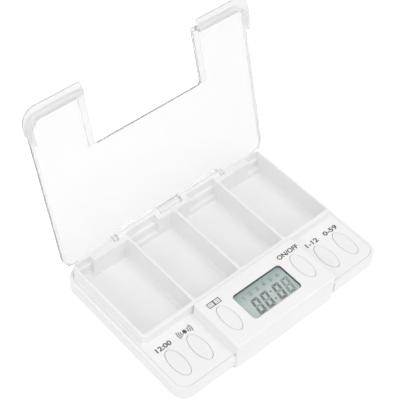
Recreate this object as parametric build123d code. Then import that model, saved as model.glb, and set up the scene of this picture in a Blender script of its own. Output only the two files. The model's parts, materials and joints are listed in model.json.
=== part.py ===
from build123d import *
import os
from math import cos, radians, sin

os.makedirs("parts", exist_ok=True)

# Four-compartment pill box with a timer, an alarm and a clear lid that stands open at the back.
# Millimetres. +X right, +Y back, +Z up. The origin is on the flat
# underside that the case rests on, under the middle of the case.

# ---- Driving dimensions: the case ----
case_width = 115.0            # overall width of the bottom shell
case_corner = 6.5             # plan radius of the case corners
floor_thickness = 1.0         # bottom shell floor
shell_rim = 1.5               # wall of the bottom shell beside the deck
shelf_width = 0.9             # shelf inside the shell that the deck rests on
shell_edge_radius = 3.5       # rounding of the shell's bottom edge
seam_gap = 0.12               # seam between deck and shell rim
past = 1.0                    # cuts run this far past the faces that they open
weld = 0.2                    # moulded features sink this far into the wall that carries them

# ---- Driving dimensions: the pill tray ----
divider_pitch = 26.0
divider_thickness = 1.4
tray_inset = 4.6              # end compartments end this far inside the case's sides
tray_wall = 1.3
tray_floor = 1.0
compartment_depth = 42.2      # front to back
compartment_height = 11.7
compartment_corner = 1.0
compartment_floor_radius = 0.8
compartment_draft = 0.4       # degrees
tray_corner = 2.4             # outer rear corners of the tray
rim_radius = 0.3              # rounding of the tray rim and the divider tops
front_wall = 1.9              # wall between tray and control section
rear_strip = 4.0              # thick rear wall that carries the hinge
wall_above_deck = 5.05        # tray rim above the deck

# ---- Driving dimensions: stepped recesses in the rear wall ----
upper_recess_depth = 3.1
upper_recess_drop = 3.9       # ledge below the tray rim
lower_recess_depth = 1.7
lower_recess_drop = 8.5
end_recess_width = 7.9        # recess beside each end wall
middle_recess_start = 9.2     # from the middle of the case to the inner recesses

# ---- Driving dimensions: the control section ----
panel_depth = 27.8            # front of the tray's front wall to the front of the case
deck_thickness = 1.4
block_width = 57.0            # raised block with the display
block_step = 1.15             # block top above the tray rim
block_wall = 1.5
block_proud = 0.4             # block front stands this far in front of the wings
block_draft = 1.6             # degrees
block_foot = 0.2              # block foot outside its nominal width
block_corner = 1.6
block_edge_radius = 0.9
front_return = 1.4            # side walls kept behind the block's front wall
draft_room = 0.3              # room for the draft behind the block's front wall

# ---- Driving dimensions: the hinge ----
open_angle = 107.0            # from closed to resting open
hinge_back = 0.1              # hinge axis behind the rear strip
hinge_drop = 0.6              # hinge axis below the tray rim
case_behind_hinge = 1.2       # case behind the hinge axis
bar_radius = 1.7
bar_inner = 6.3               # hinge bars run from here ...
bar_outer = 29.5              # ... to here, left and right of the middle
bar_web = 0.6                 # web under the bars, behind the hinge axis
bar_skin = 0.6                # rear wall kept in front of the web
journal_radius = 1.0
journal_length = 2.6
journal_clearance = 0.05
journal_end_gap = 0.4
journal_root = 0.5            # journals start this far inside the knuckles
hinge_gap = 0.3               # free space round the lid's knuckles
ear_width = 2.0
tab_web = 0.2                 # lid tab reaches this far above the hinge axis

# ---- Driving dimensions: the lid ----
lid_plate = 1.05
lid_wall = 1.2
lid_side_inset = 0.3          # lid sides inside the case sides
lid_front_inset = 1.2         # lid skirt behind the case front
lid_corner = 6.0
lid_edge_radius = 0.5
lid_back_over = 0.7           # lid plate behind the hinge axis
side_rim = 2.2                # lid rims at the sides, from the lid's top down
skirt_drop = 4.9              # front skirts, from the lid's top down
skirt_wrap = 4.5              # skirt at full depth round the front corners
skirt_slope = 7.0             # length over which it runs out into the side rim
skirt_end = 1.4               # front skirts stop this far outside the notch
rim_gap = 0.3                 # between the lid rims and the tray
lip_reach = 4.2               # finger lip in front of the skirts
lip_side = 1.8                # the same lip outside the lid's sides
lip_rise = 1.45
lip_thickness = 1.0
lip_corner = 7.0
notch_gap = 0.35              # between the lid's notch and the block
notch_corner = 1.5
notch_band = 3.1              # thickened band beside the notch
notch_band_drop = 0.6
stop_gap = 0.05               # between the stop ribs and the open lid's seat
stop_end_gap = 0.4

# ---- Driving dimensions: buttons ----
button_width = 6.6
button_length = 14.2
button_gap = 0.2
button_proud = 0.25
button_flange = 0.6
button_flange_thickness = 0.7
button_float = 0.05           # between flange and panel
button_edge_radius = 0.25
deck_margin = 0.4             # deck buttons are spread from the block to this far inside the side
button_back = 14.8            # button centres in front of the tray's front wall
stem_width = 3.6
stem_web = 1.2

# ---- Driving dimensions: display ----
window_width = 27.3
window_depth = 14.9
window_corner = 1.8
window_back = 14.95           # window centre in front of the tray's front wall
window_edge = 0.5             # thin edge of the block's top round the window
lens_thickness = 0.5
lens_gap = 0.06
lens_ledge = 0.2
rebate_margin = 0.6
display_width = 28.6
display_depth = 18.6
display_thickness = 2.4
display_step = 0.6            # contact edges of the lower glass
display_sink = 1.4            # glass below the lens
holder_wall = 1.0
holder_gap = 0.1
holder_corner_post = 1.0      # holder walls kept at the ends of its open sides
connector_thickness = 1.7
connector_inset = 0.5

# ---- Driving dimensions: electronics ----
board_lift = 0.8              # circuit board above the shell floor
board_thickness = 1.2
board_side_gap = 1.6
board_front_gap = 3.2
board_back_gap = 1.0
board_corner = 3.0
board_cut_gap = 0.3           # between the board and the battery well
board_column_gap = 1.1        # between the board and the screw columns
switch_size = 6.0
switch_body = 2.5
switch_base = 0.5             # bottom of the switch under its plunger
plunger_radius = 1.6
plunger_height = 0.6
plunger_clearance = 0.08
plunger_inside = 0.3          # plunger left in the switch when pressed
button_travel = 0.4
cell_radius = 5.8
cell_height = 5.4
cell_spacing = 12.1
cell_cap_inset = 1.2
cell_cap_height = 0.4
well_wall = 1.2
well_gap = 0.3
well_roof = 1.2
contact_thickness = 0.3
contact_width = 5.0
contact_overlap = 3.5         # contacts reach this far past the cells' middles
contact_end_gap = 0.2
bridge_width = 6.0
buzzer_radius = 3.6
buzzer_height = 2.8
buzzer_edge = 0.5
buzzer_hole = 1.0
buzzer_set_back = 3.0         # buzzer in front of the button line
sound_ring = 2.2
sound_hole = 0.6
crystal_radius = 1.0
crystal_length = 6.0
crystal_set_back = 7.0        # crystal in front of the button line
chip_radius = 3.5
chip_height = 1.5
board_rest_radius = 1.5
board_rest_set_back = 9.3     # board rests in front of the button line
board_rest_inset = 4.5        # inner rests inside the block's sides
board_rest_shift = 3.2        # outer rests inside the outer buttons' middles

# ---- Driving dimensions: battery door ----
door_lip = 0.8
door_gap = 0.12
door_corner = 1.0
ear_radius = 2.6
door_screw_offset = 2.2       # door screw axis outside the battery well
door_boss_inset = 0.4         # screw boss inside the door's ear
door_boss_cap = 1.0           # boss above the screw's tip
groove_length = 9.0
groove_width = 0.8
groove_depth = 0.3
groove_pitch = 2.0
groove_shift = -3.0           # grooves left of the middle, away from the screw

# ---- Driving dimensions: screws ----
screw_radius = 1.0
screw_clearance = 0.06
screw_head_radius = 1.9
screw_head_height = 1.2
screw_length = 5.0
screw_boss_radius = 2.4
screw_hole_gap = 0.2          # round the screws where they pass a hole
screw_tip_gap = 0.4
head_sink = 0.2               # case screw heads inside the underside
column_height = 2.4           # screw columns of the bottom shell
column_wall = 0.8
small_screw_radius = 0.8
small_head_radius = 1.5
small_head_height = 0.6
small_screw_length = 4.0
small_boss_radius = 1.9
small_hole_gap = 0.15
screw_row = 3.4               # screw line in front of the tray's front wall
board_screw_shift = 2.0       # board screws outside the deck buttons' middles
block_seam = 0.2              # between the block's front and the bottom shell
head_chamfer = 0.3            # of the head's height
cross_length = 1.1            # screw recess, of the head's radius
cross_width = 0.3

# ---- Levels ----
shell_bottom = 0.0
floor_top = shell_bottom + floor_thickness
tray_bottom = floor_top + tray_floor
rim_top = tray_bottom + compartment_height
deck_top = rim_top - wall_above_deck
deck_under = deck_top - deck_thickness
block_top = rim_top + block_step
block_under = block_top - deck_thickness
board_under = floor_top + board_lift
board_top = board_under + board_thickness
switch_top = board_top + switch_body
plunger_top = switch_top + plunger_height
column_top = floor_top + column_height
lens_top = block_top - lens_gap
lens_under = lens_top - lens_thickness
display_top = lens_under - display_sink
display_under = display_top - display_thickness

case_screw_head = shell_bottom + head_sink
case_screw_tip = case_screw_head + screw_head_height + screw_length
board_screw_tip = board_under + small_screw_length
door_screw_tip = floor_top + small_screw_length

# ---- Plan ----
case_depth = (panel_depth + front_wall + compartment_depth + rear_strip
              + hinge_back + case_behind_hinge)
case_front = -case_depth / 2
case_back = case_depth / 2
panel_back = case_front + panel_depth
tray_front = panel_back + front_wall
tray_back = tray_front + compartment_depth
strip_back = tray_back + rear_strip
hinge_y = strip_back + hinge_back
hinge_z = rim_top - hinge_drop
tray_half = case_width / 2 - tray_inset
tray_outer = tray_half + tray_wall
block_half = block_width / 2
block_front = case_front - block_proud
block_inner_front = block_front + block_wall + draft_room
button_y = panel_back - button_back
window_y = panel_back - window_back
screw_y = panel_back - screw_row

# The deck buttons are spread evenly, and the block's buttons stand between display and side wall.
deck_end = case_width / 2 - deck_margin
deck_space = (deck_end - block_half - 2 * button_width) / 3
time_x = deck_end - deck_space - button_width / 2
alarm_x = block_half + deck_space + button_width / 2
holder_half = display_width / 2 + holder_gap + holder_wall
memo_x = (holder_half + block_half - block_wall) / 2

case_screw_x = (memo_x, (alarm_x + time_x) / 2)
board_screw_x = (alarm_x - board_screw_shift, time_x + board_screw_shift)
buzzer_x = (memo_x + alarm_x) / 2   # buzzer left of the display, controller right of it
buzzer_y = button_y - buzzer_set_back
board_rest_x = (block_half - board_rest_inset, time_x - board_rest_shift)
board_rest_y = button_y - board_rest_set_back

# ---- Battery well plan ----
well_x = cell_spacing / 2 + cell_radius + well_gap
well_y = cell_radius + well_gap
cell_bottom = floor_top + contact_thickness
cell_top = cell_bottom + cell_height
well_ceiling = cell_top + contact_thickness
door_screw_x = well_x + well_wall + door_screw_offset
door_screw_y = button_y + well_y + well_wall + board_cut_gap - ear_radius   # behind the switches

# ---- Lid plan, with the lid closed ----
lid_half = case_width / 2 - lid_side_inset
lid_front = case_front + lid_front_inset
lid_back = hinge_y + lid_back_over
lid_under = block_top - lid_plate
skirt_bottom = block_top - skirt_drop
notch_half = block_half + notch_gap
notch_back = panel_back + notch_gap
tab_half = bar_inner - hinge_gap
knuckle_reach = bar_radius + hinge_gap


def slab(x0, x1, y0, y1, z0, z1):
    """Block between two corners."""
    middle = Pos((x0 + x1) / 2, (y0 + y1) / 2, (z0 + z1) / 2)
    return middle * Box(x1 - x0, y1 - y0, z1 - z0)


def rounded(width, depth, corner, z0, z1, x=0.0, y=0.0, taper=0.0):
    """Upright prism with rounded corners."""
    outline = Pos(x, y, z0) * RectangleRounded(width, depth, corner)
    return extrude(outline, amount=z1 - z0, taper=taper)


def post(radius, z0, z1, x=0.0, y=0.0):
    """Upright cylinder."""
    return Pos(x, y, (z0 + z1) / 2) * Cylinder(radius, z1 - z0)


def rod(radius, x0, x1, y, z):
    """Cylinder along X."""
    return Pos((x0 + x1) / 2, y, z) * Rot(0, 90, 0) * Cylinder(radius, x1 - x0)


def oval(width, length, z0, z1, x, y):
    """Upright elliptical prism."""
    return extrude(Pos(x, y, z0) * Ellipse(width / 2, length / 2), amount=z1 - z0)


def prism(points, direction, amount):
    """Prism on a closed outline given by its corners."""
    return extrude(make_face(Polyline(*points, close=True)), amount=amount, dir=direction)


def both_sides(solid):
    """A solid and its mirror image in the middle plane."""
    return [solid, mirror(solid, about=Plane.YZ)]


def top_edges(solid):
    """Highest edges of a solid."""
    return solid.edges().group_by(Axis.Z)[-1]


def bottom_edges(solid):
    """Lowest edges of a solid."""
    return solid.edges().group_by(Axis.Z)[0]


def save(shape, name):
    """Write one named piece."""
    shape.label = name
    export_step(shape, f"parts/{name}.step")


# ---- Top housing: pill tray, decks, display block and hinge bars in one moulding ----
def compartment_edges():
    """Left and right inner faces of the four compartments."""
    half = divider_thickness / 2
    middles = (-divider_pitch, 0.0, divider_pitch)
    lefts = [-tray_half] + [x + half for x in middles]
    rights = [x - half for x in middles] + [tray_half]
    return list(zip(lefts, rights))


def pill_tray():
    """Open tray with four compartments and a thick rear wall."""
    depth = strip_back - panel_back
    tray = rounded(2 * tray_outer, depth, tray_corner, floor_top, rim_top, y=(strip_back + panel_back) / 2)
    tray += slab(-tray_outer, tray_outer, panel_back, panel_back + 2 * tray_corner, floor_top, deck_top)
    for x0, x1 in compartment_edges():
        room = rounded(x1 - x0, compartment_depth, compartment_corner, tray_bottom, rim_top + past,
                       x=(x0 + x1) / 2, y=(tray_front + tray_back) / 2, taper=-compartment_draft)
        tray -= fillet(bottom_edges(room), compartment_floor_radius)
    return fillet(top_edges(tray), rim_radius)


def rear_recesses():
    """Stepped recesses in the rear wall, beside the end walls and behind the middle compartments."""
    steps = ((upper_recess_depth, upper_recess_drop), (lower_recess_depth, lower_recess_drop))
    ends = (tray_half - end_recess_width, tray_half)
    middles = (middle_recess_start, divider_pitch - divider_thickness / 2)
    cuts = []
    for x0, x1 in (ends, middles):
        for depth, drop in steps:
            cut = slab(x0, x1, tray_back - past, tray_back + depth, rim_top - drop, rim_top + past)
            cuts += both_sides(cut)
    return cuts


def deck():
    """Flange that closes the bottom shell all round, and the decks beside the block."""
    inset = shell_rim + seam_gap
    plate = rounded(case_width - 2 * inset, case_depth - 2 * inset, case_corner - inset,
                    deck_under, deck_top)
    return plate - slab(-tray_half, tray_half, tray_front, tray_back, deck_under - past, deck_top + past)


def display_block():
    """Raised block: drafted outer walls, open below, its front wall reaching the shell's bottom."""
    depth = panel_back - block_front
    outer = rounded(block_width + 2 * block_foot, depth + 2 * block_foot, block_corner,
                    shell_bottom, block_top, y=(panel_back + block_front) / 2, taper=block_draft)
    outer &= slab(-block_width, block_width, block_front - past, panel_back,
                  shell_bottom, block_top + past)
    upper_rim = [edge for edge in top_edges(outer) if edge.center().Y < panel_back - block_corner / 2]
    return fillet(upper_rim, block_edge_radius)


def block_cavity():
    """Space inside the display block, open to the electronics below."""
    inner_half = block_half - block_wall
    cavity = slab(-inner_half, inner_half, block_inner_front, panel_back - block_wall,
                  -past, block_under)
    sides = slab(-block_width, block_width, block_inner_front + front_return, panel_back,
                 -past, deck_under)
    return cavity + sides


def button_places():
    """Name, X, panel top and panel underside of each button."""
    return (
        ("time", -time_x, deck_top, deck_under),
        ("alarm", -alarm_x, deck_top, deck_under),
        ("memo", -memo_x, block_top, block_under),
        ("on_off", memo_x, block_top, block_under),
        ("hour", alarm_x, deck_top, deck_under),
        ("minute", time_x, deck_top, deck_under),
    )


def hinge_bars():
    """Two bars on the rear wall that hold the lid's journals."""
    bar = rod(bar_radius, bar_inner, bar_outer, hinge_y, hinge_z)
    web = slab(bar_inner, bar_outer, strip_back - bar_skin, hinge_y + bar_web,
               deck_top + seam_gap, hinge_z)
    return both_sides(bar) + both_sides(web)


def knuckle_room(x0, x1):
    """Cut in the rear wall in which one knuckle of the lid turns."""
    return slab(x0, x1, hinge_y - knuckle_reach, hinge_y + knuckle_reach,
                hinge_z - knuckle_reach, block_top)


def journal_bores():
    """Bores in both ends of each hinge bar."""
    radius = journal_radius + journal_clearance
    depth = journal_length + journal_end_gap
    outer = rod(radius, bar_outer - depth, bar_outer + past, hinge_y, hinge_z)
    inner = rod(radius, bar_inner - past, bar_inner + depth, hinge_y, hinge_z)
    return both_sides(outer) + both_sides(inner)


def panel_cuts():
    """Button holes, and the window with the rebate for the display holder."""
    cuts = []
    for _, x, top, under in button_places():
        cuts.append(oval(button_width + 2 * button_gap, button_length + 2 * button_gap,
                         under - past, top + past, x, button_y))
    cuts.append(rounded(window_width, window_depth, window_corner, block_under - past, block_top + past,
                        y=window_y))
    cuts.append(rounded(window_width + 2 * rebate_margin, window_depth + 2 * rebate_margin, window_corner,
                        block_under - past, block_top - window_edge, y=window_y))
    return cuts


def housing_bosses():
    """Screw bosses under the panels and the pilot holes in them, for the right half."""
    bosses, pilots = [], []
    for x in case_screw_x:
        ceiling = block_under if x < block_half else deck_under
        bosses.append(post(screw_boss_radius, column_top, ceiling + weld, x, screw_y))
        pilots.append(post(screw_radius + screw_clearance, column_top - past, case_screw_tip + screw_tip_gap,
                           x, screw_y))
    for x in board_screw_x:
        bosses.append(post(small_boss_radius, board_top, deck_under + weld, x, screw_y))
        pilots.append(post(small_screw_radius + screw_clearance, board_top - past,
                           board_screw_tip + screw_tip_gap, x, screw_y))
    return bosses, pilots


def make_top_housing():
    housing = pill_tray() + deck() + display_block()
    housing -= block_cavity()
    for solid in hinge_bars():
        housing += solid
    room = [knuckle_room(-bar_inner, bar_inner)]
    room += both_sides(knuckle_room(bar_outer, bar_outer + ear_width + 2 * hinge_gap))
    for cut in room + journal_bores() + rear_recesses() + panel_cuts():
        housing -= cut
    bosses, pilots = housing_bosses()
    for boss in bosses:
        for solid in both_sides(boss):
            housing += solid
    for pilot in pilots:
        for solid in both_sides(pilot):
            housing -= solid
    return housing


# ---- Bottom shell: tray-shaped cover with the battery well ----
def shell_body():
    """Floor and walls, with a shelf inside the rim for the deck."""
    outer = rounded(case_width, case_depth, case_corner, shell_bottom, deck_top)
    outer = fillet(bottom_edges(outer), shell_edge_radius)
    shelf = shell_rim + shelf_width
    lower = rounded(case_width - 2 * shelf, case_depth - 2 * shelf, case_corner - shelf, floor_top, deck_top)
    upper = rounded(case_width - 2 * shell_rim, case_depth - 2 * shell_rim, case_corner - shell_rim,
                    deck_under, deck_top)
    return outer - lower - upper


def tray_room():
    """Room in the shell for the pill tray, which reaches into the rear wall."""
    depth = strip_back - panel_back
    return rounded(2 * (tray_outer + seam_gap), depth + 2 * seam_gap, tray_corner + seam_gap, floor_top,
                   deck_top + past, y=(strip_back + panel_back) / 2)


def block_opening():
    """Gap in the front wall for the display block's front."""
    half = block_half + block_foot + block_seam
    back = block_inner_front + front_return + block_seam
    return slab(-half, half, case_front - past, back, -past, deck_top + past)


def battery_well():
    """Walled and roofed well for two button cells, and the room in it, open at the bottom."""
    outer_x = well_x + well_wall
    outer_y = well_y + well_wall
    outer = slab(-outer_x, outer_x, button_y - outer_y, button_y + outer_y,
                 floor_top, well_ceiling + well_roof)
    inner = slab(-well_x, well_x, button_y - well_y, button_y + well_y, -past, well_ceiling)
    return outer, inner


def door_outline(grow, z0, z1):
    """Battery door plan: a plate with a round ear for its screw."""
    half_x = well_x + door_lip + grow
    half_y = well_y + door_lip + grow
    plate = rounded(2 * half_x, 2 * half_y, door_corner, z0, z1, y=button_y)
    reach = ear_radius + grow
    ear = post(reach, z0, z1, door_screw_x, door_screw_y)
    neck = slab(well_x, door_screw_x, door_screw_y - reach, door_screw_y + reach, z0, z1)
    return plate + ear + neck


def door_boss():
    """Boss for the door's screw, joined to the battery well."""
    radius = ear_radius - door_boss_inset
    top = door_screw_tip + door_boss_cap
    web = slab(well_x, door_screw_x, door_screw_y - radius, door_screw_y + radius, floor_top, top)
    return post(radius, floor_top, top, door_screw_x, door_screw_y) + web


def sound_holes():
    """Ring of small holes under the buzzer, with one in the middle."""
    middle = Pos(-buzzer_x, buzzer_y, 0)
    hole = Cylinder(sound_hole, 2 * (floor_thickness + past))
    return [middle * hole] + [middle * place * hole for place in PolarLocations(sound_ring, 6)]


def screw_column(x):
    """Column for one case screw, and the holes through it."""
    column = post(screw_boss_radius + column_wall, shell_bottom, column_top, x, screw_y)
    hole = post(screw_radius + screw_hole_gap, -past, column_top + past, x, screw_y)
    counterbore = post(screw_head_radius + screw_hole_gap, -past, case_screw_head + screw_head_height,
                       x, screw_y)
    return column, hole + counterbore


def make_bottom_shell():
    shell = shell_body() - block_opening() - tray_room()
    well, well_room = battery_well()
    shell += well
    shell += door_boss()
    shell -= well_room
    shell -= door_outline(door_gap, -past, floor_top)
    shell -= post(small_screw_radius + screw_clearance, -past, door_screw_tip + screw_tip_gap,
                  door_screw_x, door_screw_y)
    for x in case_screw_x:
        column, hole = screw_column(x)
        for solid in both_sides(column):
            shell += solid
        for solid in both_sides(hole):
            shell -= solid
    for x in board_rest_x:
        for solid in both_sides(post(board_rest_radius, floor_top, board_under, x, board_rest_y)):
            shell += solid
    for hole in sound_holes():
        shell -= hole
    return shell


# ---- Lid: clear plate with low side rims and deep front skirts, built closed and then opened ----
def lid_outline(inset, z0, z1):
    """Plan of the lid, drawn in by an inset."""
    return rounded(2 * (lid_half - inset), lid_back - lid_front - 2 * inset, lid_corner - inset, z0, z1,
                   y=(lid_front + lid_back) / 2)


def side_relief():
    """Cut that leaves a low rim at the sides and the deep skirt round the front corners."""
    full = lid_front + skirt_wrap
    low = full + skirt_slope
    rim_bottom = block_top - side_rim
    floor = skirt_bottom - past
    points = [(-case_width, full, floor), (-case_width, full, skirt_bottom), (-case_width, low, rim_bottom),
              (-case_width, lid_back + past, rim_bottom), (-case_width, lid_back + past, floor)]
    return prism(points, (1, 0, 0), 2 * case_width)


def lid_tray():
    """Plate with its rims and skirts."""
    outer = fillet(top_edges(lid_outline(0.0, skirt_bottom, block_top)), lid_edge_radius)
    shell = outer - lid_outline(lid_wall, skirt_bottom - past, lid_under)
    shell -= side_relief()
    rear_half = tray_outer + rim_gap
    return shell - slab(-rear_half, rear_half, tray_back, lid_back + past, skirt_bottom - past, lid_under)


def lip_level(reach_front, reach_side, corner, z):
    """Outline of the finger lip at one level."""
    front = lid_front - reach_front
    width = 2 * (lid_half + reach_side)
    return Pos(0, (front + lid_back) / 2, z) * RectangleRounded(width, lid_back - front, corner)


def lip_flare(z):
    """Solid that flares from the skirt's outline to the lip's edge, upwards from one level."""
    top = z + lip_rise
    edge = lip_level(lip_reach, lip_side, lip_corner, top)
    return loft([lip_level(0, 0, lid_corner, z), edge]) + extrude(edge, amount=lip_thickness)


def lip_zone():
    """Plan in which the right half of the lip is kept: it runs out along the side."""
    x0 = notch_half + skirt_end
    x1 = lid_half + lip_side + past
    front = lid_front - lip_reach - past
    full = lid_front + skirt_wrap
    low = full + skirt_slope
    points = [(x0, front, skirt_bottom), (x1, front, skirt_bottom), (x1, full, skirt_bottom),
              (lid_half - lid_wall / 2, low, skirt_bottom), (x0, low, skirt_bottom)]
    return prism(points, (0, 0, 1), lip_rise + lip_thickness)


def finger_lips():
    """Lips at the foot of both skirts, for lifting the lid."""
    lip = lip_flare(skirt_bottom) - lip_flare(skirt_bottom + lip_thickness)
    lip -= lid_outline(lid_wall, skirt_bottom - past, lid_under)
    return both_sides(lip & lip_zone())


def notch_cuts():
    """Room for the display block, and the ends of the skirts beside it."""
    room = rounded(2 * notch_half, 2 * (notch_back - case_front), notch_corner, 0, block_top + past,
                   y=case_front)
    end_half = notch_half + skirt_end
    ends = slab(-end_half, end_half, lid_front - lip_reach - past, lid_front + lid_wall, 0, lid_under)
    return [room, ends]


def notch_bands():
    """Thickened bands of the plate beside the notch."""
    band = slab(notch_half, notch_half + notch_band, lid_front + lid_wall, panel_back - rim_gap,
                lid_under - notch_band_drop, lid_under + weld)
    return both_sides(band)


def stop_ribs():
    """Ribs under the lid's back edge that meet the rear wall when the lid is open."""
    angle = radians(open_angle)
    drop = (lid_back_over * cos(angle) + hinge_back - stop_gap) / sin(angle)
    x0 = bar_outer + ear_width + 2 * hinge_gap + stop_end_gap
    x1 = lid_half - lid_corner - past
    return both_sides(slab(x0, x1, hinge_y + stop_gap, lid_back, hinge_z - drop, lid_under + weld))


def lid_knuckles():
    """Tab and ears that carry the journals."""
    tab = rod(bar_radius, -tab_half, tab_half, hinge_y, hinge_z)
    tab_plate = slab(-tab_half, tab_half, hinge_y - knuckle_reach, hinge_y, hinge_z + tab_web, block_top)
    x0 = bar_outer + hinge_gap
    ear = rod(bar_radius, x0, x0 + ear_width, hinge_y, hinge_z)
    journal = rod(journal_radius, bar_outer - journal_length, x0 + journal_root, hinge_y, hinge_z)
    inner_journal = rod(journal_radius, tab_half - journal_root, bar_inner + journal_length,
                        hinge_y, hinge_z)
    return [tab, tab_plate] + both_sides(ear) + both_sides(journal) + both_sides(inner_journal)


def open_lid(solid):
    """Turn a closed solid about the hinge axis to where the lid rests open."""
    return Pos(0, hinge_y, hinge_z) * Rot(-open_angle, 0, 0) * Pos(0, -hinge_y, -hinge_z) * solid


def make_lid():
    lid = lid_tray()
    for lip in finger_lips():
        lid += lip
    for cut in notch_cuts():
        lid -= cut
    bar_room = slab(tab_half, bar_outer + hinge_gap, hinge_y - knuckle_reach, lid_back + past,
                    0, block_top + past)
    for cut in both_sides(bar_room):
        lid -= cut
    for piece in notch_bands() + stop_ribs() + lid_knuckles():
        lid += piece
    return open_lid(lid)


# ---- Buttons and switches ----
def make_button(x, top, under):
    """Oval cap with a retaining flange and a cross-shaped stem down to its switch."""
    cap = oval(button_width, button_length, under - button_float - weld, top + button_proud, x, button_y)
    cap = fillet(top_edges(cap), button_edge_radius)
    flange_top = under - button_float
    flange_low = flange_top - button_flange_thickness
    flange = oval(button_width + 2 * button_flange, button_length + 2 * button_flange,
                  flange_low, flange_top, x, button_y)
    half_web = stem_web / 2
    half_stem = stem_width / 2
    stem = slab(x - half_stem, x + half_stem, button_y - half_web, button_y + half_web,
                plunger_top, flange_low)
    cross = slab(x - half_web, x + half_web, button_y - half_stem, button_y + half_stem,
                 plunger_top, flange_low)
    return cap + flange + stem + cross


def make_plunger(x):
    """Plunger of one switch."""
    return post(plunger_radius, switch_top - button_travel - plunger_inside, plunger_top, x, button_y)


def make_switches():
    """Switch bodies on the circuit board, each with a bore for its plunger."""
    half = switch_size / 2
    bodies = []
    for _, x, _, _ in button_places():
        body = slab(x - half, x + half, button_y - half, button_y + half, board_top, switch_top)
        body -= post(plunger_radius + plunger_clearance, board_top + switch_base, switch_top + past,
                     x, button_y)
        bodies.append(body)
    return Compound(children=bodies)


# ---- Display ----
def make_display_holder():
    """Black holder: lines the window from below and guides the connectors down to the board."""
    margin = rebate_margin - holder_gap
    half_y = display_depth / 2 + holder_gap
    outer_y = half_y + holder_wall
    inner_half = holder_half - holder_wall
    holder = rounded(window_width + 2 * margin, window_depth + 2 * margin, window_corner,
                     display_top, lens_under, y=window_y)
    holder += slab(-holder_half, holder_half, window_y - outer_y, window_y + outer_y, board_top,
                   block_under - holder_gap)
    holder -= rounded(window_width - 2 * lens_ledge, window_depth - 2 * lens_ledge,
                      window_corner - lens_ledge, display_top - past, lens_under + past, y=window_y)
    holder -= slab(-inner_half, inner_half, window_y - half_y, window_y + half_y, 0, display_top)
    open_y = half_y - holder_corner_post
    side_cut = slab(-2 * holder_half, 2 * holder_half, window_y - open_y, window_y + open_y, 0,
                    display_under - display_step)
    return holder - side_cut


def make_lens():
    return rounded(window_width - 2 * lens_gap, window_depth - 2 * lens_gap, window_corner - lens_gap,
                   lens_under, lens_top, y=window_y)


def make_display():
    """Display cell: a larger lower glass with its contact edges and a smaller upper glass."""
    half_x = display_width / 2
    half_y = display_depth / 2
    upper_y = half_y - display_step
    split = display_top - display_thickness / 2
    lower = slab(-half_x, half_x, window_y - half_y, window_y + half_y, display_under, split)
    upper = slab(-half_x, half_x, window_y - upper_y, window_y + upper_y, split, display_top)
    return lower + upper


def make_connectors():
    """Two elastomer strips between display and board."""
    half_x = display_width / 2 - connector_inset
    front = window_y - display_depth / 2
    back = window_y + display_depth / 2 - connector_thickness
    strips = [slab(-half_x, half_x, y, y + connector_thickness, board_top, display_under)
              for y in (front, back)]
    return Compound(children=strips)


# ---- Electronics ----
def make_board():
    """Circuit board with a window for the battery well and holes for the screw columns."""
    half_x = case_width / 2 - shell_rim - shelf_width - board_side_gap
    board = slab(-half_x, half_x, case_front + board_front_gap, panel_back - board_back_gap,
                 board_under, board_top)
    board = fillet(board.edges().filter_by(Axis.Z), board_corner)
    cut_x = well_x + well_wall + board_cut_gap
    cut_y = well_y + well_wall + board_cut_gap
    board -= slab(-cut_x, cut_x, button_y - cut_y, button_y + cut_y, 0, block_top)
    board -= slab(well_x, door_screw_x, door_screw_y - ear_radius, door_screw_y + ear_radius, 0, block_top)
    board -= post(ear_radius, 0, block_top, door_screw_x, door_screw_y)
    holes = [post(screw_boss_radius + board_column_gap, 0, block_top, x, screw_y) for x in case_screw_x]
    holes += [post(small_screw_radius + small_hole_gap, 0, block_top, x, screw_y) for x in board_screw_x]
    for hole in holes:
        for solid in both_sides(hole):
            board -= solid
    return board


def make_buzzer():
    body = post(buzzer_radius, board_top, board_top + buzzer_height, -buzzer_x, buzzer_y)
    body = chamfer(top_edges(body), buzzer_edge)
    return body - post(buzzer_hole, board_top + buzzer_edge, board_top + buzzer_height + past,
                       -buzzer_x, buzzer_y)


def make_chip():
    """Drop of resin over the controller."""
    radius = (chip_radius ** 2 + chip_height ** 2) / (2 * chip_height)
    ball = Pos(buzzer_x, button_y, board_top + chip_height - radius) * Sphere(radius)
    return ball & slab(0, case_width, case_front, case_back, board_top, block_top)


def make_crystal():
    """Timing crystal: a small can lying on the board."""
    middle = Pos(buzzer_x, button_y - crystal_set_back, board_top + crystal_radius)
    return middle * Rot(0, 90, 0) * Cylinder(crystal_radius, crystal_length)


def make_cells():
    """Two button cells side by side."""
    cells = []
    for x in (-cell_spacing / 2, cell_spacing / 2):
        can = post(cell_radius, cell_bottom + cell_cap_height, cell_top, x, button_y)
        cap = post(cell_radius - cell_cap_inset, cell_bottom, cell_top, x, button_y)
        cells.append(can + cap)
    return Compound(children=cells)


def make_upper_contacts():
    """Two sprung leaves in the roof of the well, one on each cell."""
    half = contact_width / 2
    leaf = slab(cell_spacing / 2 - contact_overlap, well_x - contact_end_gap,
                button_y - half, button_y + half, cell_top, cell_top + contact_thickness)
    return Compound(children=both_sides(leaf))


def make_bridge_contact():
    """Plate on the battery door that joins both cells."""
    half_x = cell_spacing / 2 + contact_overlap
    half_y = bridge_width / 2
    return slab(-half_x, half_x, button_y - half_y, button_y + half_y,
                floor_top, floor_top + contact_thickness)


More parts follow.
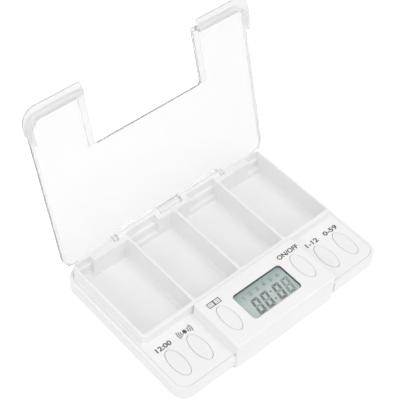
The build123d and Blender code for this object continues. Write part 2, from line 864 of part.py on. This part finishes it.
def make_battery_door():
    """Door with its screw ear, a countersink and three finger grooves."""
    door = door_outline(0.0, shell_bottom, floor_top)
    door -= post(small_screw_radius + small_hole_gap, -past, block_top, door_screw_x, door_screw_y)
    door -= post(small_head_radius + small_hole_gap, -past, shell_bottom + small_head_height,
                 door_screw_x, door_screw_y)
    for row in (-1, 0, 1):
        groove = SlotOverall(groove_length, groove_width)
        place = Pos(groove_shift, button_y + row * groove_pitch, -past)
        door -= extrude(place * groove, amount=past + groove_depth)
    return door


# ---- Fasteners ----
def screw(x, y, head_bottom, head_radius, head_height, radius, length):
    """Pan-head screw pointing up, with a cross recess."""
    head_top = head_bottom + head_height
    body = post(head_radius, head_bottom, head_top, x, y)
    body = chamfer(bottom_edges(body), head_chamfer * head_height)
    body += post(radius, head_top, head_top + length, x, y)
    slot = Box(cross_length * head_radius, cross_width * head_radius, head_height)
    return body - Pos(x, y, head_bottom) * (slot + Rot(0, 0, 90) * slot)


def make_case_screws():
    screws = []
    for x in case_screw_x:
        screws += both_sides(screw(x, screw_y, case_screw_head, screw_head_radius, screw_head_height,
                                   screw_radius, screw_length))
    return Compound(children=screws)


def make_board_screws():
    screws = []
    for x in board_screw_x:
        screws += both_sides(screw(x, screw_y, board_under - small_head_height, small_head_radius,
                                   small_head_height, small_screw_radius, small_screw_length))
    return Compound(children=screws)


def make_door_screw():
    return screw(door_screw_x, door_screw_y, shell_bottom, small_head_radius, small_head_height,
                 small_screw_radius, small_screw_length)


save(make_top_housing(), "top_housing")
save(make_bottom_shell(), "bottom_shell")
save(make_lid(), "lid")
for name, x, top, under in button_places():
    save(make_button(x, top, under), f"button_{name}")
    save(make_plunger(x), f"plunger_{name}")
save(make_switches(), "switch_bodies")
save(make_display_holder(), "display_holder")
save(make_lens(), "display_lens")
save(make_display(), "display_glass")
save(make_connectors(), "display_connectors")
save(make_board(), "circuit_board")
save(make_buzzer(), "buzzer")
save(make_chip(), "controller_chip")
save(make_crystal(), "timing_crystal")
save(make_cells(), "button_cells")
save(make_upper_contacts(), "cell_contacts")
save(make_bridge_contact(), "bridge_contact")
save(make_battery_door(), "battery_door")
save(make_case_screws(), "case_screws")
save(make_board_screws(), "board_screws")
save(make_door_screw(), "battery_door_screw")
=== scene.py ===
import json
from math import cos, pi, radians, sin

import bmesh
import bpy
from mathutils import Matrix, Vector


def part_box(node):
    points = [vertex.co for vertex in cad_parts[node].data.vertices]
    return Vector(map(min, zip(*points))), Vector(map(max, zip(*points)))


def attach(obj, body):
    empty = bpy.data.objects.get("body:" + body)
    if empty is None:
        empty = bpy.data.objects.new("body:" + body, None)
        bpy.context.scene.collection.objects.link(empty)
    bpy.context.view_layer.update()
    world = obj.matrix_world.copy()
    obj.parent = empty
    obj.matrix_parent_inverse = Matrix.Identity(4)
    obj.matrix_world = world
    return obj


# Four-compartment pill box with a timer, an alarm and a clear lid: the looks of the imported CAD.
# Metres, in the CAD's frame: +X right, +Y back, +Z up.
MM = 0.001

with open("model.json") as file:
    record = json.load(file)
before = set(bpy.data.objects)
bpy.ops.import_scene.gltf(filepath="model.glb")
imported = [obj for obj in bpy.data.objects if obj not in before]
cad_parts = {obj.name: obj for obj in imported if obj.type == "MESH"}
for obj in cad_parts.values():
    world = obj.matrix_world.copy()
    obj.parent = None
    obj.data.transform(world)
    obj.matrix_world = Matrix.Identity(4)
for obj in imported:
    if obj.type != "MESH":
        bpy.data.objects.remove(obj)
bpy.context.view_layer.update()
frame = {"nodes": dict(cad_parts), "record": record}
collection = bpy.context.scene.collection

# ---- Camera: a view from the front left, looking down ----
VIEW_AZIMUTH = radians(44.9)      # the view runs towards +X and +Y
VIEW_ELEVATION = radians(48.7)
VIEW_ROLL = radians(4.5)
VIEW_TARGET = Vector((14.7, 32.8, 10.0)) * MM
VIEW_DISTANCE = 504.6 * MM
PICTURE_WIDTH = 400.0             # pixels
FOCAL_PIXELS = 1120.0
SENSOR_WIDTH = 36.0
NEAREST_SEEN = 10 * MM


# ---- Materials ----
NOISE_RANGE = (0.25, 0.75)        # what most of a noise's values lie between
MAPPED = (0.0, 1.0)


class Shader:
    """A node material with its Principled shader, and short calls to wire textures into it."""

    def __init__(self, name):
        self.material = bpy.data.materials.new(name)
        self.material.use_nodes = True
        self.tree = self.material.node_tree
        self.principled = self.tree.nodes["Principled BSDF"]
        self.output = self.tree.nodes["Material Output"]
        self.place = self.add("ShaderNodeTexCoord").outputs["Object"]

    def add(self, kind, **settings):
        node = self.tree.nodes.new(kind)
        for key, value in settings.items():
            setattr(node, key, value)
        return node

    def link(self, source, target):
        self.tree.links.new(source, target)

    def set(self, **values):
        for key, value in values.items():
            self.principled.inputs[key.replace("_", " ")].default_value = value

    def math(self, operation, first, second):
        """Result of a Math node on two sockets, or on a socket and a number."""
        node = self.add("ShaderNodeMath", operation=operation)
        for value, target in zip((first, second), node.inputs):
            if isinstance(value, float):
                target.default_value = value
            else:
                self.link(value, target)
        return node.outputs["Value"]

    def noise(self, size, detail=2.0, roughness=0.5):
        """Noise whose blotches are about this many metres across."""
        texture = self.add("ShaderNodeTexNoise")
        texture.inputs["Scale"].default_value = 1.0 / size
        texture.inputs["Detail"].default_value = detail
        texture.inputs["Roughness"].default_value = roughness
        self.link(self.place, texture.inputs["Vector"])
        return texture.outputs["Fac"]

    def ramp(self, factor, colours, low=0.3, high=0.7):
        """Blend from the first colour to the second as the factor goes from low to high."""
        ramp = self.add("ShaderNodeValToRGB")
        for element, position, colour in zip(ramp.color_ramp.elements, (low, high), colours):
            element.position = position
            element.color = (*colour, 1.0)
        self.link(factor, ramp.inputs["Fac"])
        return ramp.outputs["Color"]

    def map(self, factor, source, target):
        """The factor mapped from one range, a pair of numbers, onto another, and kept inside it."""
        mapped = self.add("ShaderNodeMapRange")
        self.link(factor, mapped.inputs["Value"])
        for name, value in zip(("From Min", "From Max", "To Min", "To Max"), (*source, *target)):
            mapped.inputs[name].default_value = value
        return mapped.outputs["Result"]

    def roughen(self, factor, rough, change):
        """Roughness that a noise moves up and down by the change."""
        varied = self.map(factor, NOISE_RANGE, (rough - change, rough + change))
        self.link(varied, self.principled.inputs["Roughness"])

    def paint(self, colour):
        self.link(colour, self.principled.inputs["Base Color"])

    def bump(self, height, distance):
        node = self.add("ShaderNodeBump")
        node.inputs["Distance"].default_value = distance
        self.link(height, node.inputs["Height"])
        self.link(node.outputs["Normal"], self.principled.inputs["Normal"])


FLOW_MARKS = 14 * MM
GLOSS_CHANGE = 0.04               # up and down, over the grain


def moulded(name, light, dark, rough, grain, depth):
    """Moulded plastic: faint flow marks in its colour, a fine grain and a soft gloss."""
    shader = Shader(name)
    shader.paint(shader.ramp(shader.noise(FLOW_MARKS, detail=3.0), (dark, light)))
    fine = shader.noise(grain, detail=4.0, roughness=0.6)
    shader.roughen(fine, rough, GLOSS_CHANGE)
    shader.bump(fine, depth)
    return shader.material


ABSORBED = (0.57, 0.575, 0.58, 1.0)
LET_THROUGH = (0.97, 0.97, 0.97, 1.0)  # of the lamps' light
SMEAR = 5 * MM                    # patches of the clear plastic's gloss
RIPPLE = 11 * MM                  # waves of its surface
RIPPLE_DEPTH = 0.004 * MM


def clear(name, tint, density, clarity, rough, ior=1.5):
    """Clear moulded plastic that lets the lamps through and darkens where it is seen edge on."""
    shader = Shader(name)
    shader.set(Base_Color=(*tint, 1.0), Transmission_Weight=clarity, IOR=ior)
    shader.roughen(shader.noise(SMEAR), rough, rough / 2)
    shader.bump(shader.noise(RIPPLE, detail=1.0), RIPPLE_DEPTH)
    absorb = shader.add("ShaderNodeVolumeAbsorption")
    absorb.inputs["Color"].default_value = ABSORBED
    absorb.inputs["Density"].default_value = density
    shader.link(absorb.outputs["Volume"], shader.output.inputs["Volume"])
    path = shader.add("ShaderNodeLightPath")
    through = shader.add("ShaderNodeBsdfTransparent")
    through.inputs["Color"].default_value = LET_THROUGH
    mix = shader.add("ShaderNodeMixShader")
    shader.link(path.outputs["Is Shadow Ray"], mix.inputs["Fac"])
    shader.link(shader.principled.outputs["BSDF"], mix.inputs[1])
    shader.link(through.outputs["BSDF"], mix.inputs[2])
    shader.link(mix.outputs["Shader"], shader.output.inputs["Surface"])
    return shader


joints = {joint["name"]: joint for joint in frame["record"]["behaviour"]["joints"]}
LID_HINGE = joints["lid_hinge"]
LID_TINT = (0.92, 0.92, 0.92)
LID_CLARITY = 0.86                # share of the light that goes through and isn't scattered
RIM_TINT = (0.90, 0.90, 0.90)
RIM_CLARITY = 0.6
RIM_HEIGHTS = (0.6 * MM, 0.0)     # from the plate's finish to the rims', above the hinge axis


def height_when_shut(shader):
    """Height above the hinge axis that a point of the open lid has once the lid is shut."""
    hinge_y, hinge_z = LID_HINGE["pos_m"][1:]
    turn = radians(LID_HINGE["range_deg"][1])
    split = shader.add("ShaderNodeSeparateXYZ")
    shader.link(shader.place, split.inputs["Vector"])
    back = shader.math("SUBTRACT", split.outputs["Y"], hinge_y)
    up = shader.math("SUBTRACT", split.outputs["Z"], hinge_z)
    from_back = shader.math("MULTIPLY", back, sin(turn))
    from_up = shader.math("MULTIPLY", up, cos(turn))
    return shader.math("ADD", from_back, from_up)


def soften_rims(shader):
    """Milkier plastic in the lid's rims, skirts and lips than in its plate."""
    rims = shader.map(height_when_shut(shader), RIM_HEIGHTS, MAPPED)
    shader.paint(shader.ramp(rims, (LID_TINT, RIM_TINT), *MAPPED))
    clarity = shader.map(rims, MAPPED, (LID_CLARITY, RIM_CLARITY))
    shader.link(clarity, shader.principled.inputs["Transmission Weight"])


STAINS = 2 * MM
STREAKS = 0.15 * MM
STREAK_DEPTH = 0.004 * MM


def metal(name, light, dark, rough):
    """Bare metal with fine streaks and faint stains."""
    shader = Shader(name)
    shader.paint(shader.ramp(shader.noise(STAINS, detail=3.0), (dark, light), 0.35, 0.65))
    fine = shader.noise(STREAKS)
    shader.roughen(fine, rough, 2 * GLOSS_CHANGE)
    shader.bump(fine, STREAK_DEPTH)
    shader.set(Metallic=1.0)
    return shader.material


WHITE = moulded("white_plastic", light=(0.925, 0.925, 0.925), dark=(0.905, 0.905, 0.903),
                rough=0.42, grain=0.22 * MM, depth=0.004 * MM)
BUTTON = moulded("button_plastic", light=(0.905, 0.905, 0.905), dark=(0.89, 0.89, 0.888),
                 rough=0.36, grain=0.3 * MM, depth=0.003 * MM)
BLACK = moulded("black_plastic", light=(0.050, 0.058, 0.062), dark=(0.036, 0.042, 0.045),
                rough=0.5, grain=0.2 * MM, depth=0.006 * MM)
BOARD = moulded("circuit_board_green", light=(0.030, 0.150, 0.070), dark=(0.020, 0.105, 0.050),
                rough=0.45, grain=0.3 * MM, depth=0.004 * MM)
RUBBER = moulded("elastomer", light=(0.045, 0.045, 0.048), dark=(0.030, 0.030, 0.032),
                 rough=0.7, grain=0.2 * MM, depth=0.006 * MM)
RESIN = moulded("potting_resin", light=(0.028, 0.026, 0.026), dark=(0.014, 0.013, 0.013),
                rough=0.25, grain=0.6 * MM, depth=0.01 * MM)
NICKEL = metal("nickel", light=(0.78, 0.76, 0.72), dark=(0.62, 0.60, 0.57), rough=0.28)
STEEL = metal("screw_steel", light=(0.64, 0.64, 0.65), dark=(0.50, 0.50, 0.52), rough=0.34)
LID = clear("lid_plastic", LID_TINT, density=52.0, clarity=LID_CLARITY, rough=0.09, ior=1.28)
LENS = clear("window_plastic", (0.99, 1.0, 1.0), density=8.0, clarity=1.0, rough=0.03)
soften_rims(LID)

FINISH = {
    "white_plastic": WHITE,
    "button_plastic": BUTTON,
    "clear_plastic": LID.material,
    "clear_window": LENS.material,
    "elastomer": RUBBER,
    "board": BOARD,
    "black_plastic": BLACK,
    "resin": RESIN,
    "nickel": NICKEL,
    "screw_steel": STEEL,
    "display": WHITE,             # the glass, which the film covers
}

# Painted shade: the rear colour is the reflector darkened and turned bluer, as in the shade of the window's
# frame.
BACKING_REAR_SHADED = (0.30, 0.40, 0.405)
BACKING_FRONT = (0.51, 0.57, 0.545)
BACKING_SHADE_Y = (-19.0 * MM, -25.0 * MM)  # from the rear colour to the front one
BACKING_CLOUD = 3 * MM
BACKING_CLOUDS = ((0.86, 0.89, 0.89), (1.0, 1.0, 1.0))  # multiply the colour, at half strength
BACKING_GRAIN = 0.1 * MM


def display_backing_painted_shade():
    """Grey reflector behind the liquid crystal, with painted shade: bluer and darker towards the rear, where
    the window's frame shades it.
    """
    shader = Shader("display_backing_painted_shade")
    split = shader.add("ShaderNodeSeparateXYZ")
    shader.link(shader.place, split.inputs["Vector"])
    # Mask of the painted shade: 0 at the shaded rear, 1 towards the front.
    along = shader.map(split.outputs["Y"], BACKING_SHADE_Y, MAPPED)
    cloud = shader.noise(BACKING_CLOUD, detail=3.0)
    blend = shader.add("ShaderNodeMix", data_type="RGBA", blend_type="MULTIPLY")
    blend.inputs["Factor"].default_value = 0.5
    shader.link(shader.ramp(along, (BACKING_REAR_SHADED, BACKING_FRONT), *MAPPED), blend.inputs["A"])
    shader.link(shader.ramp(cloud, BACKING_CLOUDS), blend.inputs["B"])
    shader.paint(blend.outputs["Result"])
    shader.roughen(shader.noise(BACKING_GRAIN), rough=0.525, change=0.075)
    return shader.material


INK_PATCHES = 0.35 * MM


def ink(name, dark, light):
    """Printed or displayed ink with a slightly uneven tone."""
    shader = Shader(name)
    tone = shader.noise(INK_PATCHES, detail=3.0)
    shader.paint(shader.ramp(tone, (dark, light)))
    shader.roughen(tone, rough=0.6, change=0.05)
    return shader.material


BACKING = display_backing_painted_shade()
SEGMENT = ink("display_segment", dark=(0.10, 0.115, 0.115), light=(0.14, 0.155, 0.155))
SEGMENT_FAINT = ink("display_segment_faint", dark=(0.17, 0.215, 0.215), light=(0.25, 0.30, 0.30))
SEGMENT_UNLIT = ink("display_unlit", dark=(0.25, 0.30, 0.30), light=(0.32, 0.37, 0.37))
LABEL = ink("label_ink", dark=(0.06, 0.06, 0.063), light=(0.09, 0.09, 0.093))


# ---- Small shapes ----
INK_THICKNESS = 0.03 * MM
FONT_CAP = 0.73                   # height of the font's capitals, of its size


def add_object(name, bm, material):
    mesh = bpy.data.meshes.new(name)
    bm.to_mesh(mesh)
    bm.free()
    mesh.materials.append(material)
    added = bpy.data.objects.new(name, mesh)
    collection.objects.link(added)
    return added


def add_piece(name, bm, material):
    piece = add_object(name, bm, material)
    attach(piece, "case")


def polygon(x, y, radius, sides):
    """Corners of a regular polygon, anticlockwise."""
    angles = [2 * pi * i / sides for i in range(sides)]
    return [(x + radius * cos(a), y + radius * sin(a)) for a in angles]


def add_prism(bm, outline, low, high):
    """Solid between two levels over a convex outline of (x, y) points, given anticlockwise."""
    bottom = [bm.verts.new((x, y, low)) for x, y in outline]
    top = [bm.verts.new((x, y, high)) for x, y in outline]
    bm.faces.new(list(reversed(bottom)))
    bm.faces.new(top)
    count = len(outline)
    for i in range(count):
        j = (i + 1) % count
        bm.faces.new((bottom[i], bottom[j], top[j], top[i]))


def add_ink(bm, outline, level):
    add_prism(bm, outline, level, level + INK_THICKNESS)


def add_text(name, text, size, place, weight, material):
    """Printed text of a width and height; the place is the middle of its foot."""
    width, height = size
    curve = bpy.data.curves.new(name, "FONT")
    curve.body = text
    curve.align_x = "CENTER"
    curve.align_y = "BOTTOM_BASELINE"
    curve.size = height / FONT_CAP
    curve.extrude = INK_THICKNESS / 2
    curve.resolution_u = 4
    curve.offset = weight
    piece = bpy.data.objects.new(name, curve)
    collection.objects.link(piece)
    bpy.context.view_layer.update()
    piece.scale.x = width / piece.dimensions.x
    piece.location = place
    curve.materials.append(material)
    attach(piece, "case")


# ---- Display: seven-segment digits, colon and a row of small numbers ----
glass_low, glass_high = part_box("display_glass")
FILM_THICKNESS = 0.5 * MM         # reflector, liquid crystal and polariser on the lower glass
FILM_MARGIN_X = 0.4 * MM
FILM_MARGIN_Y = 1.0 * MM
DIGIT_WIDTH = 3.9 * MM
DIGIT_HEIGHT = 8.0 * MM
DIGIT_PITCH = 5.1 * MM
COLON_ROOM = 1.8 * MM             # between the second and the third digit
DIGIT_SLANT = 0.17                # to the right, of the height
DIGIT_X = -9.7 * MM               # left foot of the first digit
DIGIT_Y = -32.2 * MM
DIGIT_COUNT = 4
LIT_DIGITS = 3                    # the rest are pale
STROKE = 1.2 * MM                 # width of a segment
STROKE_GAP = 0.14 * MM            # at each end of a segment
COLON_RADIUS = 0.5 * MM
COLON_HEIGHTS = (0.27, 0.77)      # of the digits' height
DOT_SIDES = 8                     # of the colon's dots and the bell's clapper
SMALL_NUMBERS = "1  2  3  4  5  6"
SMALL_SIZE = (20.5 * MM, 2.0 * MM)    # width of the row and height of a number
SMALL_WEIGHT = 0.1 * MM           # added to each side of a stroke
SMALL_X = 0.2 * MM                # middle of the row's foot
SMALL_Y = -22.4 * MM
INK_GAP = 0.02 * MM
ink_level = glass_high.z + FILM_THICKNESS + INK_GAP


def slanted(x, y, left):
    """Point of a digit on the display, from its place in an upright digit."""
    return (left + x + DIGIT_SLANT * y, DIGIT_Y + y)


def mirrored(points, across, along):
    """Outline mirrored left to right, front to back, or both, and still anticlockwise."""
    moved = [(DIGIT_WIDTH - x if across else x, DIGIT_HEIGHT - y if along else y) for x, y in points]
    return moved[::-1] if across != along else moved


def digit_outer_bars():
    """Six mitred bars that make a nought."""
    middle = DIGIT_HEIGHT / 2
    inner_top = DIGIT_HEIGHT - STROKE
    front_side = [(0, STROKE_GAP), (STROKE, STROKE + STROKE_GAP),
                  (STROKE, middle - STROKE / 2 - STROKE_GAP), (0, middle - STROKE_GAP)]
    rear = [(STROKE + STROKE_GAP, inner_top), (DIGIT_WIDTH - STROKE - STROKE_GAP, inner_top),
            (DIGIT_WIDTH - STROKE_GAP, DIGIT_HEIGHT), (STROKE_GAP, DIGIT_HEIGHT)]
    sides = [mirrored(front_side, across, along) for across in (False, True) for along in (False, True)]
    return sides + [rear, mirrored(rear, False, True)]


def digit_middle_bar():
    """Six-sided bar across the middle."""
    middle, half = DIGIT_HEIGHT / 2, STROKE / 2
    start, end = STROKE_GAP, DIGIT_WIDTH - STROKE_GAP
    return [(start, middle), (start + half, middle - half), (end - half, middle - half), (end, middle),
            (end - half, middle + half), (start + half, middle + half)]


def digit_x(place):
    return DIGIT_X + place * DIGIT_PITCH + (COLON_ROOM if place > 1 else 0.0)


def make_bars(name, outlines, place, material):
    bm = bmesh.new()
    for outline in outlines:
        add_ink(bm, [slanted(x, y, digit_x(place)) for x, y in outline], ink_level)
    add_piece(name, bm, material)


def make_colon():
    bm = bmesh.new()
    middle_x = (digit_x(1) + DIGIT_WIDTH + digit_x(2)) / 2
    for height in COLON_HEIGHTS:
        x, y = slanted(0.0, height * DIGIT_HEIGHT, middle_x)
        add_ink(bm, polygon(x, y, COLON_RADIUS, DOT_SIDES), ink_level)
    add_piece("display_colon", bm, SEGMENT)


def make_film():
    bm = bmesh.new()
    x0, x1 = glass_low.x + FILM_MARGIN_X, glass_high.x - FILM_MARGIN_X
    y0, y1 = glass_low.y + FILM_MARGIN_Y, glass_high.y - FILM_MARGIN_Y
    corners = [(x0, y0), (x1, y0), (x1, y1), (x0, y1)]
    add_prism(bm, corners, glass_high.z + INK_GAP / 2, glass_high.z + FILM_THICKNESS)
    add_piece("display_film", bm, BACKING)


def make_display():
    make_film()
    for place in range(DIGIT_COUNT):
        lit = SEGMENT if place < LIT_DIGITS else SEGMENT_FAINT
        make_bars(f"display_digit_{place + 1}", digit_outer_bars(), place, lit)
        make_bars(f"display_digit_{place + 1}_middle", [digit_middle_bar()], place, SEGMENT_UNLIT)
    make_colon()
    place = (SMALL_X, SMALL_Y, ink_level)
    add_text("display_alarm_numbers", SMALL_NUMBERS, SMALL_SIZE, place, SMALL_WEIGHT, SEGMENT_FAINT)


# ---- Printed labels ----
BUTTON_FLANGE = 0.6 * MM          # a button's hidden flange round its cap
BUTTON_PROUD = 0.25 * MM          # cap above the panel
LABEL_HEIGHT = 2.3 * MM
LABEL_GAP = 1.3 * MM              # between a button's rear end and its label
LABEL_WEIGHT = 0.08 * MM          # added to each side of a letter's strokes
TEXT_LABELS = {                   # of each button: the text and its width
    "time": ("12:00", 7.7 * MM),
    "on_off": ("ON/OFF", 11.8 * MM),
    "hour": ("1-12", 7.0 * MM),
    "minute": ("0-59", 8.0 * MM),
}
LINE = 0.34 * MM                  # width of the pictograms' lines
BELL_HALF = 1.15 * MM             # half width of the bell's mouth
BELL_MOUTH = 0.25                 # height above the clapper's foot, of the label's height
BELL_CROWN = 0.6                  # radius of the rounded top, of the mouth's half width
BELL_STEPS = 6                    # of the rounded top
WAVE_RADII = (1.8 * MM, 2.7 * MM, 3.6 * MM)
WAVE_ANGLE = radians(28)          # up and down from level
WAVE_STEPS = 6
PAGE_WIDTH = 3.0 * MM
PAGE_GAP = 0.3 * MM
PAGE_LINES = 2
PAGE_MARGIN = 2 * LINE


def label_place(button):
    """Middle of the foot of a button's label, on the panel behind the button's cap."""
    low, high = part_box(f"button_{button}")
    return (low.x + high.x) / 2, high.y - BUTTON_FLANGE + LABEL_GAP, high.z - BUTTON_PROUD


def stroke(bm, start, end, level, width=LINE):
    """Straight printed line between two points."""
    start, end = Vector(start), Vector(end)
    along = (end - start).normalized() * width / 2
    side = Vector((-along.y, along.x))
    corners = [start - along - side, end + along - side, end + along + side, start - along + side]
    add_ink(bm, [(corner.x, corner.y) for corner in corners], level)


def polyline(bm, points, level):
    for start, end in zip(points, points[1:]):
        stroke(bm, start, end, level)


def arc(x, y, radius, start, end, steps):
    """Points of an arc between two angles, ends included."""
    angles = [start + (end - start) * i / steps for i in range(steps + 1)]
    return [(x + radius * cos(a), y + radius * sin(a)) for a in angles]


def bell(bm, x, y, level):
    """Bell with its clapper, and sound waves on each side."""
    mouth = y + BELL_MOUTH * LABEL_HEIGHT
    crown = BELL_CROWN * BELL_HALF
    dome = arc(x, y + LABEL_HEIGHT - crown, crown, 0.0, pi, BELL_STEPS)
    add_ink(bm, [(x - BELL_HALF, mouth), (x + BELL_HALF, mouth)] + dome, level)
    add_ink(bm, polygon(x, y + LINE, LINE, DOT_SIDES), level)
    for radius in WAVE_RADII:
        for way in (0.0, pi):
            start, end = way - WAVE_ANGLE, way + WAVE_ANGLE
            polyline(bm, arc(x, y + LABEL_HEIGHT / 2, radius, start, end, WAVE_STEPS), level)


def open_notebook(bm, x, y, level):
    """Two lined pages side by side."""
    for side in (-1, 1):
        inner = x + side * PAGE_GAP / 2
        outer = inner + side * PAGE_WIDTH
        page = [(inner, y), (outer, y), (outer, y + LABEL_HEIGHT), (inner, y + LABEL_HEIGHT), (inner, y)]
        polyline(bm, page, level)
        start, end = inner + side * PAGE_MARGIN, outer - side * PAGE_MARGIN
        for i in range(PAGE_LINES):
            height = y + LABEL_HEIGHT * (i + 1) / (PAGE_LINES + 1)
            stroke(bm, (start, height), (end, height), level, LINE / 2)


def make_labels():
    for button, (text, width) in TEXT_LABELS.items():
        x, y, level = label_place(button)
        place = (x, y, level + INK_THICKNESS / 2)
        size = (width, LABEL_HEIGHT)
        add_text(f"label_{button}", text, size, place, LABEL_WEIGHT, LABEL)
    for button, draw in {"alarm": bell, "memo": open_notebook}.items():
        bm = bmesh.new()
        draw(bm, *label_place(button))
        add_piece(f"label_{button}", bm, LABEL)


def dress_nodes():
    slots = {entry["node"]: entry["material_slot"] for entry in frame["record"]["subparts"]}
    for name, node in frame["nodes"].items():
        node.data.materials.clear()
        node.data.materials.append(FINISH[slots[name]])


# ---- Studio ----
FLOOR_REACH = 2.0                 # metres
FLOOR_SIDES = 48
FLOOR_LEVEL = -0.05 * MM          # just under the case, so the two share no plane
FLOOR_LIFT = 0.35                 # light of its own where the camera sees the floor
FLOOR_LIFT_THROUGH = 0.24         # the same in gloss and through clear plastic
FLOOR_MOTTLE = 0.4                # metres
FLOOR_TONES = ((0.90, 0.90, 0.90), (0.92, 0.92, 0.92))


def floor_finish():
    """Matt white that adds its own light, so that the picture's ground is near white."""
    shader = Shader("floor")
    shader.set(Roughness=0.9, Specular_IOR_Level=0.0, Emission_Color=(1.0, 1.0, 1.0, 1.0))
    shader.paint(shader.ramp(shader.noise(FLOOR_MOTTLE), FLOOR_TONES))
    path = shader.add("ShaderNodeLightPath")
    through = shader.math("MAXIMUM", path.outputs["Is Glossy Ray"], path.outputs["Is Transmission Ray"])
    straight = shader.math("MULTIPLY", path.outputs["Is Camera Ray"], FLOOR_LIFT)
    lift = shader.math("ADD", straight, shader.math("MULTIPLY", through, FLOOR_LIFT_THROUGH))
    shader.link(lift, shader.principled.inputs["Emission Strength"])
    return shader.material


def make_floor():
    bm = bmesh.new()
    bm.faces.new([bm.verts.new((x, y, FLOOR_LEVEL)) for x, y in polygon(0.0, 0.0, FLOOR_REACH, FLOOR_SIDES)])
    add_object("floor", bm, floor_finish())


SKY_LIGHT = (0.85, 0.6)           # on surfaces, from the horizon and from the zenith
LAMPS = {                         # place and diameter in metres, power in watts
    "key": ((0.1, -0.35, 1.5), 1.3, 5.2),
    "front": ((0.3, -1.5, 0.9), 1.0, 2.4),
    "left": ((-1.3, -0.2, 1.1), 1.0, 3.2),
}


def make_world():
    """Soft white studio; rays that see it straight, in gloss or through plastic find plain white."""
    world = bpy.data.worlds.new("studio")
    bpy.context.scene.world = world
    world.use_nodes = True
    tree = world.node_tree
    split = tree.nodes.new("ShaderNodeSeparateXYZ")
    tree.links.new(tree.nodes.new("ShaderNodeTexCoord").outputs["Generated"], split.inputs["Vector"])
    sky = tree.nodes.new("ShaderNodeMapRange")
    sky.inputs["To Min"].default_value, sky.inputs["To Max"].default_value = SKY_LIGHT
    tree.links.new(split.outputs["Z"], sky.inputs["Value"])
    level = sky.outputs["Result"]
    path = tree.nodes.new("ShaderNodeLightPath")
    for ray in ("Is Camera Ray", "Is Glossy Ray", "Is Transmission Ray"):
        step = tree.nodes.new("ShaderNodeMath")
        step.operation = "MAXIMUM"
        tree.links.new(level, step.inputs[0])
        tree.links.new(path.outputs[ray], step.inputs[1])
        level = step.outputs["Value"]
    background = tree.nodes["Background"]
    background.inputs["Color"].default_value = (1.0, 1.0, 1.0, 1.0)
    tree.links.new(level, background.inputs["Strength"])


def add_lamp(name, place, diameter, power):
    """Round soft lamp that faces the origin."""
    light = bpy.data.lights.new(name, "AREA")
    light.shape = "DISK"
    light.size = diameter
    light.energy = power
    lamp = bpy.data.objects.new(name, light)
    collection.objects.link(lamp)
    lamp.location = place
    lamp.rotation_euler = (-Vector(place)).to_track_quat("-Z", "Y").to_euler()


def make_camera():
    forward = Vector((sin(VIEW_AZIMUTH) * cos(VIEW_ELEVATION), cos(VIEW_AZIMUTH) * cos(VIEW_ELEVATION),
                      -sin(VIEW_ELEVATION)))
    side = Vector((cos(VIEW_AZIMUTH), -sin(VIEW_AZIMUTH), 0.0))
    right = side * cos(VIEW_ROLL) + side.cross(forward) * sin(VIEW_ROLL)
    matrix = Matrix((right, right.cross(forward), -forward)).transposed().to_4x4()
    matrix.translation = VIEW_TARGET - forward * VIEW_DISTANCE
    data = bpy.data.cameras.new("camera")
    data.sensor_width = SENSOR_WIDTH
    data.lens = FOCAL_PIXELS * SENSOR_WIDTH / PICTURE_WIDTH
    data.clip_start = NEAREST_SEEN
    camera = bpy.data.objects.new("camera", data)
    collection.objects.link(camera)
    camera.matrix_world = matrix
    bpy.context.scene.camera = camera


dress_nodes()
make_display()
make_labels()
make_floor()
make_world()
for lamp_name, lamp_values in LAMPS.items():
    add_lamp(lamp_name, *lamp_values)
make_camera()
bpy.context.scene.view_settings.view_transform = "Standard"
